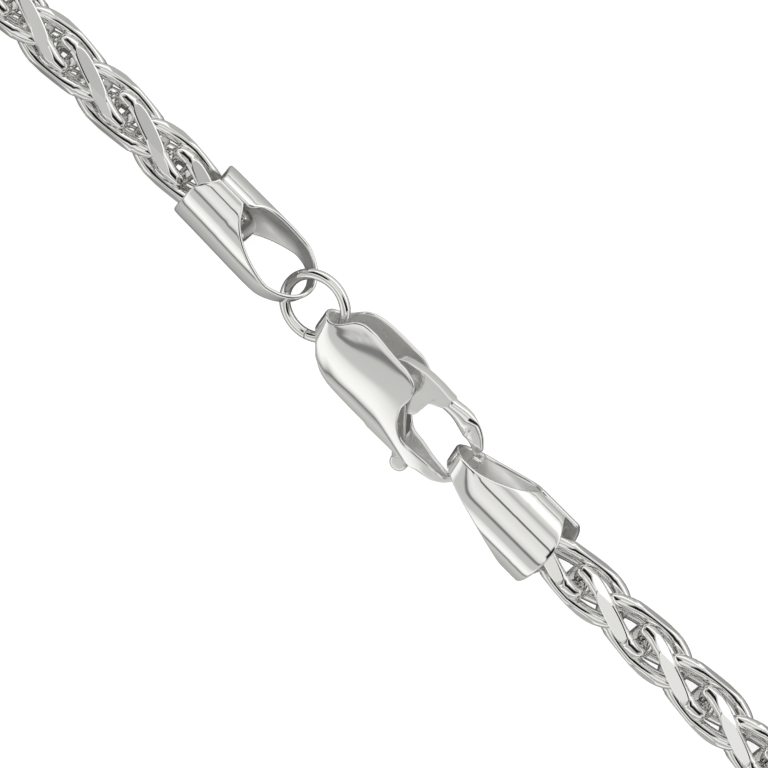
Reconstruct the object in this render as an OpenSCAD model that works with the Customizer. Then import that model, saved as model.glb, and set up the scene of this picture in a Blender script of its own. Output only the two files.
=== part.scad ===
// Wheat chain necklace with a folded lobster clasp, lying closed on a flat surface.
// The straight stretch that holds the clasp runs along X, the rest of the loop lies on its +Y side,
// and the origin is under the middle of the necklace, on the surface.

/* [Chain] */
// Half length of a link, to the middle of its wire
link_half_len = 4.2; // [4.15:0.05:4.25]
// Distance from the chain's axis to the middle of a link's long side
link_half_width = 1.85; // [1.8:0.01:1.9]
// Radius of the circle round the five-sided wire
wire_r = 0.55; // [0.45:0.01:0.55]
// Angle by which each end of a link is twisted from its middle
link_twist = 48; // [46:1:50]
// Step from one link to the next beside the jump ring, where the chain is slack
step_slack = 3.34; // [3.3:0.01:3.5]
// Number of slack steps
steps_slack = 12; // [4:2:20]
// Number of taut steps round the rest of the loop
steps_taut = 120; // [118:2:120]
// Height of the chain's axis where it lies on the surface
chain_z = 2.4; // [2.4:0.05:2.6]

/* [Loop] */
// Half length of the straight stretch that holds the clasp
straight_half = 48; // [46:1:50]
// Radius of the bend at each end of the straight stretch
corner_r = 35; // [33:1:36]
// Radius of the long bend round the neck
neck_r = 86; // [85.9:0.1:86.1]
// Where the straight stretch lies, from the middle of the necklace
front_y = -67.87; // [-67.95:0.01:-67.8]
// Middle of the end link that sits in the hook side's cap
end_link_right = 17.6; // [17.4:0.1:17.8]
// Middle of the end link that sits in the ring side's cap
end_link_left = -22.73; // [-22.9:0.1:-22.6]

/* [End caps] */
// Length of a cap's front leg from the fold to the mouth
cap_len = 11.5; // [11.2:0.1:11.7]
// How much longer the back leg is
back_longer = 1; // [0.6:0.1:1.2]
// How far the back leg's tube stands outside the front leg's
back_proud = 0.15; // [0.1:0.05:0.2]
// Half thickness of a cap from leg to leg
cap_half_thick = 2.95; // [2.9:0.05:3.1]
// Half width of a cap from seam to seam
cap_half_width = 3.45; // [3.4:0.05:3.6]
// Thickness of the cap's sheet
cap_sheet = 0.4; // [0.3:0.05:0.4]
// Half width of the strip at the fold
fold_half_width = 1; // [0.95:0.05:1.1]
// Length over which the fold curves into the legs
fold_nose = 3.9; // [3.5:0.1:4.2]
// Distance from the fold to where the legs close into a tube
fold_to_tube = 8.2; // [7.8:0.1:8.6]
// How far the corners of the mouth stand back from its middle
mouth_round = 1.1; // [0.8:0.1:1.3]
// Slant of the fold across the strip
fold_slant = 12; // [8:1:14]
// Where the fold of the hook side's cap lies
cap_right_x = 7; // [6.9:0.05:7.05]
// Where the fold of the ring side's cap lies
cap_left_x = -10.7; // [-10.75:0.05:-10.65]
// Sideways place of the hook side's cap
cap_right_y = -0.65; // [-0.7:0.05:-0.6]
// Sideways place of the ring side's cap
cap_left_y = 0.55; // [0.5:0.05:0.6]
// Roll of the hook side's cap about the chain
cap_right_roll = 18; // [16:1:20]
// Roll of the ring side's cap about the chain
cap_left_roll = 63; // [58:1:66]

/* [Jump ring] */
// Outer diameter of the jump ring
ring_d = 6.4; // [6.3:0.02:6.5]
// Thickness of its wire
ring_wire = 0.93; // [0.85:0.01:0.95]
// Middle of the ring
ring_at = [-9.7, 0.25, 3.3];
// Tilt of the ring about X and about Y
ring_tilt = [35, -4, 0];

/* [Clasp] */
// Roll of the clasp about its length
clasp_roll = 32; // [30:1:34]
// Place of the clasp's middle plane
clasp_at = [0, -0.29, 3.15];
// Half thickness of the clasp at the top of its domes
dome_half = 2.1; // [2:0.05:2.2]
// Radius of the domes across the clasp
dome_r = 12; // [11:0.5:14]
// Thickness of the clasp's sheet
shell_t = 0.38; // [0.34:0.02:0.4]
// Thickness of the lever
lever_t = 1.3; // [1.1:0.1:1.4]
// Thickness of the lever where it lies in the hook's tip
lever_end_t = 0.45; // [0.4:0.05:0.45]
// Where the lever turns, seen from the clasp's front
pivot = [0.2, 1.2];
// Diameter of the pin that the lever turns on
pin_d = 1; // [0.8:0.1:1.1]
// Middle of the thumb nub
nub_at = [4.3, -4.2];
// Diameter of the thumb nub
nub_d = 1.5; // [1.3:0.1:1.6]

/* [Hidden] */
silver = [0.78, 0.77, 0.75];
$fn = 48;
// Room that each cutting shape has beyond the piece that it cuts
past = 3;
// Step in degrees between the points of rounded outlines
arc_step = 6;
// Running clearance of the lever
lever_gap = 0.1;

// The loop: lengths and turns of its stretches, and the middle of the neck bend
corner_turn = asin(straight_half / (neck_r - corner_r));
corner_len = corner_r * corner_turn * PI / 180;
neck_turn = 360 - 2 * corner_turn;
neck_len = neck_r * neck_turn * PI / 180;
corner_end = straight_half + corner_len;
neck_end = corner_end + neck_len;
loop_len = neck_end + corner_end;
neck_y = front_y + corner_r + (neck_r - corner_r) * cos(corner_turn);

// Heights of the caps' axes: the right cap rests on its larger leg, the left one on its smaller leg
function cap_rise(proud, roll) =
    norm([(cap_half_width + proud) * sin(roll), (cap_half_thick + proud) * cos(roll)]);
cap_right_z = cap_rise(back_proud, cap_right_roll);
cap_left_z = cap_rise(0, cap_left_roll);

// Steps of the taut stretch, which closes the loop exactly
steps_total = steps_taut + steps_slack;
step_taut = (loop_len + end_link_left - end_link_right - steps_slack * step_slack) / steps_taut;
links_right = steps_total / 2 + 1;

// Rings of the wire round a link, and sides of the wire
link_rings = 10;
// The ends of the ten-cornered oval reach as far as the round one's
end_reach = link_half_len / cos(180 / link_rings);
wire_sides = 5;
// How square the link's oval is: 1 is an ellipse, less is fuller
link_fullness = 0.8;
// Roll of the chain about its axis at the right cap and at the left cap
roll_right = -4;
roll_left = 11;
// Length over which the chain comes down from each cap to the surface
rise_len = 18;
// Sideways place of the chain at each cap, and the length over which it comes back to the middle line
chain_right_y = -0.2;
chain_left_y = 0.25;
sway_len = 60;

// Direction of the loop in degrees at a distance s along it
function heading(s) =
    s < straight_half ? 0 :
    s < corner_end ? (s - straight_half) / corner_r * 180 / PI :
    s < neck_end ? corner_turn + (s - corner_end) / neck_r * 180 / PI :
    s < loop_len - straight_half ? 360 - corner_turn + (s - neck_end) / corner_r * 180 / PI : 360;

// Point of the loop's middle line at a distance s along it
function place(s) =
    let (h = heading(s), out = [sin(h), -cos(h)])
    s < straight_half ? [s, front_y] :
    s < corner_end ? [straight_half, front_y + corner_r] + corner_r * out :
    s < neck_end ? [0, neck_y] + neck_r * out :
    s < loop_len - straight_half ? [-straight_half, front_y + corner_r] + corner_r * out :
    [s - loop_len, front_y];

// Smooth step from 0 to 1
function ease(u) = let (c = min(1, max(0, u))) c * c * (3 - 2 * c);

// Height of the chain's axis: it comes down from each cap to the surface
function axis_z(s) = chain_z
    + (cap_right_z - chain_z) * (1 - ease((s - end_link_right) / rise_len))
    + (cap_left_z - chain_z) * (1 - ease((loop_len + end_link_left - s) / rise_len));

// Sideways place of the chain's axis
function axis_y(s) = chain_right_y * (1 - ease((s - end_link_right) / sway_len))
    + chain_left_y * (1 - ease((loop_len + end_link_left - s) / sway_len));

// A point at (along, aside, up) from the chain's axis at s
function on_loop(s, p) =
    let (at = place(s + p.x), h = heading(s + p.x), aside = axis_y(s + p.x) + p.y)
    [at.x - aside * sin(h), at.y + aside * cos(h), axis_z(s + p.x) + p.z];

// Distance of link i along the loop
function link_s(i) = end_link_right + min(i, steps_taut) * step_taut + max(0, i - steps_taut) * step_slack;

// Middle of the wire at angle t round a link: an oval twisted about the chain's axis.
// Even links face up and twist one way, odd links face aside and twist the other way.
function wire_mid(i, t) =
    let (odd = i % 2, along = end_reach * cos(t),
         out = link_half_width * sign(sin(t)) * pow(abs(sin(t)), link_fullness),
         turn = 90 * odd + roll_right + (roll_left - roll_right) * i / steps_total
                + (2 * odd - 1) * link_twist * cos(t))
    [along, out * sin(turn), out * cos(turn)];

function unit(v) = v / norm(v);

// One ring of the wire's corners, with a flat of the wire facing outwards
function wire_ring(i, t) =
    let (mid = wire_mid(i, t), dir = unit(wire_mid(i, t + 1) - wire_mid(i, t - 1)),
         odd = i % 2, turn = 90 * odd + (2 * odd - 1) * link_twist * cos(t),
         round = sin(t) / link_half_width,
         ahead = [cos(t) / link_half_len, round * sin(turn), round * cos(turn)],
         out = unit(ahead - (ahead * dir) * dir), side = cross(dir, out))
    [for (j = [0:wire_sides - 1]) let (a = (j + 0.5) * 360 / wire_sides)
        on_loop(link_s(i), mid + wire_r * (cos(a) * out + sin(a) * side))];

module link(i) {
    rings = [for (k = [0:link_rings - 1]) wire_ring(i, (k + 0.5) * 360 / link_rings)];
    polyhedron(
        points = [for (r = rings) each r],
        faces = [for (k = [0:link_rings - 1], j = [0:wire_sides - 1])
            let (n = wire_sides, a = k * n, b = (k + 1) % link_rings * n, q = (j + 1) % n)
            each [[a + j, b + j, a + q], [a + q, b + j, b + q]]]);
}

module chain_right() {
    color(silver) for (i = [0:links_right - 1]) link(i);
}

module chain_left() {
    color(silver) for (i = [links_right:steps_total]) link(i);
}

// An outline in X and Z, as thick along Y as needed
module across() {
    rotate([90, 0, 0]) linear_extrude(height = 10 * past, center = true) children();
}

// An outline in Y and Z, carried along X
module along(from, to) {
    translate([from, 0, 0]) rotate([90, 0, 90]) linear_extrude(height = to - from) children();
}

// Half of a leg's section, an ellipse: side is 1 for the front leg and -1 for the back leg
module leg_section(half_w, half_t, side) {
    polygon([for (a = [0:arc_step:180]) [half_w * cos(a), side * half_t * sin(a)]]);
}

// Half of the folded strip seen from its edge, filled up to its middle plane
module leg_profile(nose, half_t, x0, len, side) {
    polygon(concat([for (a = [180:-arc_step:90]) [x0 + nose * (1 + cos(a)), side * half_t * sin(a)]],
                   [[len + past, side * half_t], [len + past, 0]]));
}

// Outline of the flattened leg: narrow at the fold, as wide as the tube, with a rounded end.
// A larger flare keeps the strip narrow for longer, a larger bow keeps more of the mouth straight.
module leg_outline(half_w, len) {
    flare = 1.6;
    bow = 4;
    edge_step = 0.1;
    wide = half_w + back_proud;
    edge = [for (u = [-edge_step:edge_step:1])
        [u * fold_to_tube, fold_half_width + (wide - fold_half_width) * pow(max(0, u), flare)]];
    mouth = [for (v = [1:-0.125:-1]) [len - mouth_round * pow(v, bow), wide * v]];
    polygon(concat(edge, mouth, [for (i = [len(edge) - 1:-1:0]) [edge[i].x, -edge[i].y]]));
}

module leg_solid(half_w, half_t, nose, x0, len, side) {
    intersection() {
        rotate([0, 0, fold_slant]) across() leg_profile(nose, half_t, x0, len, side);
        along(0, len + past) leg_section(half_w, half_t, side);
    }
}

// One leg: its outer form less its inner form, trimmed to its outline
module cap_leg(proud, len, side) {
    half_w = cap_half_width + proud;
    half_t = cap_half_thick + proud;
    intersection() {
        difference() {
            leg_solid(half_w, half_t, fold_nose, 0, len, side);
            leg_solid(half_w - cap_sheet, half_t - cap_sheet, fold_nose - cap_sheet, cap_sheet, len, side);
        }
        linear_extrude(height = 4 * half_t, center = true) leg_outline(half_w, len);
    }
}

// A cap with its fold at the origin and its mouth towards +X
module end_cap() {
    seam = 0.12;
    difference() {
        union() {
            cap_leg(0, cap_len, 1);
            cap_leg(back_proud, cap_len + back_longer, -1);
        }
        translate([fold_nose, -cap_half_width - past, -seam / 2])
            cube([cap_len, 2 * (cap_half_width + past), seam]);
    }
}

module end_cap_right() {
    color(silver) translate([cap_right_x, front_y + cap_right_y, cap_right_z])
        rotate([cap_right_roll, 0, 0]) end_cap();
}

module end_cap_left() {
    color(silver) translate([cap_left_x, front_y + cap_left_y, cap_left_z])
        rotate([cap_left_roll, 0, 0]) rotate([0, 180, 0]) end_cap();
}

// The ring is a turn of wire whose ends meet at a fine joint
module jump_ring() {
    joint = 1;
    joint_at = -69;
    wire_fn = 24;
    color(silver) translate([ring_at.x, front_y + ring_at.y, ring_at.z])
        rotate(ring_tilt) rotate([0, 0, joint_at + joint / 2])
        rotate_extrude(angle = 360 - joint)
        translate([(ring_d - ring_wire) / 2, 0]) circle(d = ring_wire, $fn = wire_fn);
}

// Smooth curve through the points p, with n steps from each to the next
function curve(p, n) = let (last = len(p) - 1) concat([for (i = [0:last - 1], k = [0:n - 1])
    let (a = p[max(0, i - 1)], b = p[i], c = p[i + 1], d = p[min(last, i + 2)], t = k / n)
    b + t * ((c - a) + t * ((2 * a - 5 * b + 4 * c - d) + t * (3 * (b - c) + d - a))) / 2], [p[last]]);

// The curve c moved to its left by d
function moved(c, d) = let (last = len(c) - 1) [for (i = [0:last])
    let (v = c[min(last, i + 1)] - c[max(0, i - 1)]) c[i] + d * [-v.y, v.x] / norm(v)];

// Outer side of the clasp, seen from its front: from the tail, past the thumb nub, to the hook's tip
clasp_outer = [[-9, -0.7], [-8, -0.75], [-7.4, -1.2], [-6.6, -2.2], [-5.5, -3], [-4.1, -3.36],
               [-1, -3.46], [2, -3.42], [4.6, -3.4], [6, -3.28], [7.4, -2.95], [8.2, -2.35], [8.8, -1.4],
               [9.3, 0], [9.4, 1.1], [9.2, 1.8]];
// Inner side: from the hook's tip round the opening, over the body's shoulder and back to the tail
clasp_inner = [[8.3, 1.6], [8.3, 0.7], [8.3, -0.3], [8.26, -1.2], [7.8, -1.98], [6.2, -2], [4.6, -1.9],
               [3.3, -1.8], [2.1, -0.8], [1.45, 0.5], [1.4, 2], [0.8, 3.1], [-0.4, 3.58], [-2.6, 3.66],
               [-4.2, 3.72], [-5.3, 3.6], [-6.2, 3.1], [-7.1, 1.85], [-7.8, 1.35], [-9, 1.26]];
// Half thickness of the bends and the straight stretch: it stands just clear of the tops of the domes
bend_clear = 0.06;
bend_half = dome_half + bend_clear;
// Half thickness of the clasp along its length, from the end of the tail's bend to the hook
clasp_thick = [[-4.75, bend_half], [-2, bend_half], [0.5, bend_half], [2.4, 1.8], [4.4, 1.35],
               [6, 0.95], [7, 0.8], [7.8, 0.68], [8.6, 0.72], [9.8, 0.74]];
// Length of the tail's bend, and its slant across the clasp
tail_nose = 3.75;
tail_slant = 8;
// Length of the bends that thin the corners beside the tail, and their slant
corner_nose = 7.4;
corner_slant = 50;
// Sideways middle of the domes
dome_y = 1.35;
// Where the hollow stops having a wall on its outer side, so that the jump ring can pass through the tail
tail_open_x = -5.4;
// The slit in the outer wall that the thumb nub's arm moves in, and the fine joint of the hook beyond it
slit = [0.4, 5.2];
joint_end_x = 7.4;
joint_w = 0.14;
// How far each end of the pin reaches into the shells
pin_bite = 0.1;
curve_steps = 4;

outer_line = curve(clasp_outer, curve_steps);
inner_line = curve(clasp_inner, curve_steps);

// The clasp's thickness, seen from its edge: the tail's bend, the body and the hook
module clasp_profile(inset) {
    tail = [for (a = [180:-arc_step:90]) [(tail_nose - inset) * cos(a), (bend_half - inset) * sin(a)]];
    bend = concat(tail, [[6 * past, bend_half - inset]]);
    corner = [for (a = [180:-arc_step:90]) [(corner_nose - inset) * cos(a), (bend_half - inset) * sin(a)]];
    top = concat([[clasp_thick[0].x - 2 * past, bend_half - inset]],
                 [for (p = curve(clasp_thick, curve_steps)) [p.x, p.y - inset]]);
    intersection() {
        translate([clasp_thick[0].x, 0, 0]) rotate([0, 0, tail_slant]) across() mirrored_outline(bend);
        intersection_for(turn = [-corner_slant, corner_slant])
            rotate([0, 0, turn]) across() mirrored_outline(concat(corner, [[6 * past, bend_half - inset]]));
        across() mirrored_outline(top);
    }
}

// An outline given by its upper edge, the same below
module mirrored_outline(top) {
    polygon(concat(top, [for (i = [len(top) - 1:-1:0]) [top[i].x, -top[i].y]]));
}

// The clasp's form between its two domes, set in by the sheet's thickness for the hollow
module clasp_form(inset) {
    intersection() {
        clasp_profile(inset);
        translate([0, dome_y, dome_half - dome_r]) rotate([0, 90, 0])
            cylinder(r = dome_r - inset, h = 10 * past, center = true);
        translate([0, dome_y, dome_r - dome_half]) rotate([0, 90, 0])
            cylinder(r = dome_r - inset, h = 10 * past, center = true);
    }
}

// The hollow has a wall along the outer side only, and is open at the tail, the lever's side and the opening
module clasp_hollow() {
    far = 12;
    wall = [for (p = moved(outer_line, shell_t)) if (p.x > tail_open_x) p];
    intersection() {
        clasp_form(shell_t);
        linear_extrude(height = far, center = true)
            polygon(concat([[-far, -far], [tail_open_x, -far]], wall,
                           [[wall[len(wall) - 1].x, far], [-far, far]]));
    }
}

module clasp_body() {
    nub_room = lever_t + 2 * lever_gap;
    color(silver) translate([clasp_at.x, front_y + clasp_at.y, clasp_at.z])
        rotate([clasp_roll, 0, 0]) union() {
        difference() {
            intersection() {
                clasp_form(0);
                linear_extrude(height = 4 * dome_half, center = true) polygon(concat(outer_line, inner_line));
            }
            clasp_hollow();
            translate([slit.x, -2 * past, -nub_room / 2]) cube([slit.y - slit.x, 1.5 * past, nub_room]);
            translate([slit.x, -2 * past, -joint_w / 2]) cube([joint_end_x - slit.x, 1.5 * past, joint_w]);
        }
        translate([pivot.x, pivot.y, 0])
            cylinder(d = pin_d, h = 2 * (dome_half - shell_t + pin_bite), center = true);
    }
}

// The lever's outline: its root under the shells, the gate, and the gate's end in the hook
lever_line = [[-1.9, 2.6], [-1.3, 3.3], [0.8, 3.82], [3.9, 3.82], [5.2, 3.96], [6.5, 3.84], [7.5, 3.38],
              [8.35, 2.6], [8.6, 1.7], [8.25, 1.35], [7.8, 1.6], [7.2, 1.8], [6.5, 1.85], [5.6, 2.3],
              [4.3, 2.5], [2.9, 2.15], [2.4, 1.4], [2.6, 0.6], [1.9, -0.2], [0.4, -0.1], [-1.2, 1],
              [-1.9, 2.6]];
// The lever's half thickness along its length: it is thinner where it lies in the hook
lever_thick = [[-3, lever_t / 2], [6, lever_t / 2], [6.9, lever_end_t / 2], [9, lever_end_t / 2]];

module clasp_lever() {
    arm_w = 1.2;
    nub_round = 0.6;
    arm = nub_at - pivot;
    across_arm = [-arm.y, arm.x] / norm(arm) * arm_w / 2;
    color(silver) translate([clasp_at.x, front_y + clasp_at.y, clasp_at.z])
        rotate([clasp_roll, 0, 0]) difference() {
        union() {
            intersection() {
                linear_extrude(height = lever_t, center = true) polygon(curve(lever_line, curve_steps));
                across() polygon(concat(lever_thick, [for (i = [len(lever_thick) - 1:-1:0])
                                                      [lever_thick[i].x, -lever_thick[i].y]]));
            }
            linear_extrude(height = lever_t, center = true)
                polygon([pivot - across_arm, nub_at - across_arm, nub_at + across_arm, pivot + across_arm]);
            translate([nub_at.x, nub_at.y, 0]) intersection() {
                cylinder(d = nub_d, h = lever_t, center = true);
                sphere(r = nub_d * nub_round);
            }
        }
        translate([pivot.x, pivot.y, 0]) cylinder(d = pin_d + 2 * lever_gap, h = 2 * lever_t, center = true);
    }
}

end_cap_left();
end_cap_right();
jump_ring();
clasp_body();
clasp_lever();
chain_right();
chain_left();
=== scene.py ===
"""The looks of a silver wheat chain necklace with a folded lobster clasp, lying closed on a pale table."""

import bmesh
import bpy
import numpy as np
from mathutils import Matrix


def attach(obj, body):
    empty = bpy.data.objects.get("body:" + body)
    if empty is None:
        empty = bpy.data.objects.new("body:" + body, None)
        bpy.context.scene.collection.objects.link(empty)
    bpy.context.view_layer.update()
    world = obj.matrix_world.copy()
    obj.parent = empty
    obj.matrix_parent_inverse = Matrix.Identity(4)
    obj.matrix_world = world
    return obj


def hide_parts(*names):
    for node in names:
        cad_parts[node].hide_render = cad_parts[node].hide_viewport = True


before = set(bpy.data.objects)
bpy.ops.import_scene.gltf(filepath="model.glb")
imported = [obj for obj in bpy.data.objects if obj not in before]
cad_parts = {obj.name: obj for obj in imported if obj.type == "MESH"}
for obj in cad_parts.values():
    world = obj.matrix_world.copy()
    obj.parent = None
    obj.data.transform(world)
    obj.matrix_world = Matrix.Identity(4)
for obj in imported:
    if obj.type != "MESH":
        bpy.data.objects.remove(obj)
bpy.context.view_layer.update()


# Chain
# A wheat chain of sterling silver. Each link is an oval of round wire, twisted along its length and passed
# through the two links before it. Eight flats are then cut along the joined chain with a diamond tool,
# which leaves each strand a bright flat face with crisp edges.
mm = 0.001
# Half length and half width of a link's middle line, its twist at either end, how full its oval is, the
# wire's radius, and the distance from the chain's axis to the flats. Lengths are in millimetres
link_half_len = 4.2
link_half_width = 1.9
link_twist = np.radians(47)
link_fullness = 0.42
wire_radius = 0.65
flat_apothem = 2.23
flat_count = 8
# Turn of the flats' edges about the chain, from straight up towards the loop's inside, at its two ends
edge_turn_right = np.radians(4.3)
edge_turn_left = np.radians(38.7)
# Half the turn of the wire's section over which an edge is spread, and the least half turn of a flat
edge_width = np.radians(4)
least_flat = 1.3 * edge_width
# Distance to the nearest flat, over the wire's radius, below which the uncut rows turn towards that flat
fade_reach = 1.3
# Least lean of a ray towards a flat that it can meet, and least run of the wire along the chain
least_lean = 0.05
link_stations = 84
flat_points = 3
wire_round_steps = 11
direction_step = 0.01
# Stands in for the turn of a flat that doesn't cut, where the least or the greatest turn is looked for
beyond_any_turn = 9

# The loop's stretches, in millimetres, as in the part's source
straight_half = 48.0
corner_r = 35.0
neck_r = 86.0
front_y = -67.87
corner_turn = np.arcsin(straight_half / (neck_r - corner_r))
corner_end = straight_half + corner_r * corner_turn
neck_end = corner_end + neck_r * (2 * np.pi - 2 * corner_turn)
loop_len = neck_end + corner_end
neck_y = front_y + corner_r + (neck_r - corner_r) * np.cos(corner_turn)

# Links: the first sits in the hook side's cap, the last in the ring side's cap, where the chain lies slack
# and its last steps from link to link are shorter
end_link_right = 18.28
end_link_left = -22.33
steps_slack = 12
step_slack = 3.34
steps_taut = 120
steps_total = steps_taut + steps_slack
step_taut = (loop_len + end_link_left - end_link_right - steps_slack * step_slack) / steps_taut
links_right = steps_total // 2 + 1

# The chain's roll, height and sideways place at its two ends, and the lengths over which they fade
roll_right = np.radians(-11)
roll_left = np.radians(6)
chain_z = 2.44
rise_len = 18.0
chain_right_y = -0.3
chain_left_y = 0.42
sway_right_len = 10.0
sway_left_len = 40.0

# Sizes of the end caps that the chain's height follows
cap_half_width = 3.45
cap_half_thick = 2.95
back_proud = 0.15
cap_right_roll = 18.0
cap_left_roll = 63.0


def cap_rise(proud, roll):
    """Height of a rolled elliptical tube's axis over the table it rests on: the root of (a x sin roll)^2 +
    (b x cos roll)^2, where a and b are half its width and half its thickness, both made larger by proud."""
    turn = np.radians(roll)
    return np.hypot((cap_half_width + proud) * np.sin(turn), (cap_half_thick + proud) * np.cos(turn))


cap_right_z = cap_rise(back_proud, cap_right_roll)
cap_left_z = cap_rise(0, cap_left_roll)


def ease(u):
    """Smooth step: 3 c^2 - 2 c^3, where c is u held between 0 and 1."""
    c = np.clip(u, 0, 1)
    return c * c * (3 - 2 * c)


def unit(v):
    """Each vector divided by its own length."""
    return v / np.linalg.norm(v, axis=-1, keepdims=True)


def on_loop(s, along, aside, up):
    """Point beside the chain's axis. The axis is a straight stretch, a bend, the long neck bend and a bend
    again: each is an arc, centre + radius x (sin h, -cos h), where the heading h grows with length over
    radius. Near its two ends the axis is eased aside and up into the caps."""
    s = s + along
    bounds = [s < straight_half, s < corner_end, s < neck_end, s < loop_len - straight_half]
    h = np.select(bounds, [0 * s, (s - straight_half) / corner_r, corner_turn + (s - corner_end) / neck_r,
                           2 * np.pi - corner_turn + (s - neck_end) / corner_r], 2 * np.pi)
    radius = np.select(bounds, [0.0, corner_r, neck_r, corner_r], 0.0)
    centre_x = np.select(bounds, [s, straight_half + 0 * s, 0 * s, -straight_half + 0 * s], s - loop_len)
    centre_y = np.select(bounds, [front_y, front_y + corner_r, neck_y, front_y + corner_r], front_y)
    from_left = loop_len + end_link_left - s
    from_right = s - end_link_right
    aside = aside + chain_right_y * (1 - ease(from_right / sway_right_len))
    aside = aside + chain_left_y * (1 - ease(from_left / sway_left_len))
    height = chain_z + (cap_right_z - chain_z) * (1 - ease(from_right / rise_len))
    height = height + (cap_left_z - chain_z) * (1 - ease(from_left / rise_len))
    return np.stack([centre_x + radius * np.sin(h) - aside * np.sin(h),
                     centre_y - radius * np.cos(h) + aside * np.cos(h), height + up], -1)


def link_middle(i, t):
    """Middle of link i's wire at angle t: an oval, half length x cos t along and half width x
    |sin t|^fullness out, whose plane turns about the chain's axis by twist x cos t, one way in even links
    and the other way in odd ones."""
    odd = i % 2
    turn = odd * np.pi / 2 + roll_right + (roll_left - roll_right) * i / steps_total
    turn = turn + (2 * odd - 1) * link_twist * np.cos(t)
    out = link_half_width * np.sign(np.sin(t)) * np.abs(np.sin(t)) ** link_fullness
    return np.stack([link_half_len * np.cos(t) + 0 * i, out * np.sin(turn), out * np.cos(turn)], -1), turn


def link_rings(first, last):
    """Rings of points round the wire of links first to last, and where the wire is cut. A point lies on the
    ray from the wire's middle at angle a, at the wire's radius or, if that is nearer, where the ray meets
    one of the eight flats: (apothem - middle . normal) / (ray . normal). The flat's two edges and the edge
    between two flats have rows of their own, so they stay crisp."""
    i = np.arange(first, last + 1)[:, None]
    t = (np.arange(link_stations)[None, :] + 0.5) * 2 * np.pi / link_stations
    middle, turn = link_middle(i, t)
    ahead = unit(link_middle(i, t + direction_step)[0] - link_middle(i, t - direction_step)[0])
    outward = np.stack([np.cos(t) / link_half_len + 0 * i, np.sin(t) * np.sin(turn) / link_half_width,
                        np.sin(t) * np.cos(turn) / link_half_width], -1)
    outward = unit(outward - (outward * ahead).sum(-1, keepdims=True) * ahead)
    side = np.cross(ahead, outward)

    edge = edge_turn_right + (edge_turn_left - edge_turn_right) * (i / steps_total)[..., None]
    edge = edge + np.arange(flat_count) * 2 * np.pi / flat_count
    face = edge + np.pi / flat_count
    clearance = flat_apothem - middle[..., 1:2] * np.sin(face) - middle[..., 2:3] * np.cos(face)
    face_out = outward[..., 1:2] * np.sin(face) + outward[..., 2:3] * np.cos(face)
    face_side = side[..., 1:2] * np.sin(face) + side[..., 2:3] * np.cos(face)
    slope = np.hypot(face_out, face_side)
    at = np.arctan2(face_side, face_out)
    reach = clearance / (wire_radius * slope)
    half = np.arccos(np.clip(reach, -1, 1))
    is_cut = reach < 1
    nearest = np.argmin(reach, -1)[..., None]
    near_reach = np.take_along_axis(reach, nearest, -1)[..., 0]
    near_at = np.take_along_axis(at, nearest, -1)[..., 0]
    near_at = near_at * np.clip((fade_reach - near_reach) / (fade_reach - 1), 0, 1)
    any_cut = is_cut.any(-1)
    low = np.where(any_cut, np.where(is_cut, at - half, beyond_any_turn).min(-1), near_at)
    high = np.where(any_cut, np.where(is_cut, at + half, -beyond_any_turn).max(-1), near_at)
    mid = (low + high) / 2
    half_span = np.maximum((high - low) / 2, least_flat)
    low, high = mid - half_span, mid + half_span

    corner_out = flat_apothem / np.cos(np.pi / flat_count)
    corner_y = corner_out * np.sin(edge) - middle[..., 1:2]
    corner_z = corner_out * np.cos(edge) - middle[..., 2:3]
    run = ahead[..., 0:1]
    run = np.where(np.abs(run) < least_lean, least_lean, run)
    corner_x = -(corner_y * ahead[..., 1:2] + corner_z * ahead[..., 2:3]) / run
    corner = np.stack([corner_x, corner_y + 0 * run, corner_z + 0 * run], -1)
    away = np.linalg.norm(corner, axis=-1)
    corner_at = np.arctan2((corner * side[..., None, :]).sum(-1), (corner * outward[..., None, :]).sum(-1))
    corner_at = np.take_along_axis(corner_at, np.argmin(away, -1)[..., None], -1)[..., 0]
    corner_at = np.clip(corner_at, low + edge_width, high - edge_width)

    round_part = np.linspace(0, 1, wire_round_steps + 1)
    round_start, round_end = high + edge_width, low - edge_width + 2 * np.pi
    round_at = round_start[..., None] * (1 - round_part) + round_end[..., None] * round_part
    flat_at = np.stack([low + edge_width, corner_at, high - edge_width], -1)
    angle = np.concatenate([flat_at, round_at], -1)
    towards = slope[..., None, :] * np.cos(angle[..., :, None] - at[..., None, :])
    limit = clearance[..., None, :] / np.maximum(towards, least_lean)
    limit = np.where(towards > least_lean, limit, wire_radius).min(-1)
    ray = np.minimum(wire_radius, limit)[..., None]
    point = middle[..., None, :] + ray * (np.cos(angle)[..., None] * outward[..., None, :]
                                          + np.sin(angle)[..., None] * side[..., None, :])
    s = end_link_right + np.minimum(i, steps_taut) * step_taut + np.maximum(0, i - steps_taut) * step_slack
    return on_loop(s[..., None], point[..., 0], point[..., 1], point[..., 2]), any_cut


def grid_quads(rows, columns, close_rows=False, close_columns=False):
    """Four-cornered faces of a grid of points: (r, c), (r, c + 1), (r + 1, c + 1), (r + 1, c)."""
    r = np.arange(rows if close_rows else rows - 1)[:, None]
    c = np.arange(columns if close_columns else columns - 1)[None, :]
    r1, c1 = (r + 1) % rows, (c + 1) % columns
    return np.stack([r * columns + c, r * columns + c1, r1 * columns + c1, r1 * columns + c], -1)


def new_piece(name, points, quads, body, materials):
    """A mesh of points in millimetres, riding on a body of the part."""
    mesh = bpy.data.meshes.new(name)
    mesh.from_pydata(points.reshape(-1, 3) * mm, [], quads.reshape(-1, 4))
    mesh.polygons.foreach_set("use_smooth", np.ones(len(mesh.polygons), bool))
    for material in materials:
        mesh.materials.append(material)
    piece = bpy.data.objects.new(name, mesh)
    bpy.context.scene.collection.objects.link(piece)
    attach(piece, body)
    return piece


# Points nearer than this, in millimetres, become one
weld_reach = 0.0002


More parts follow.
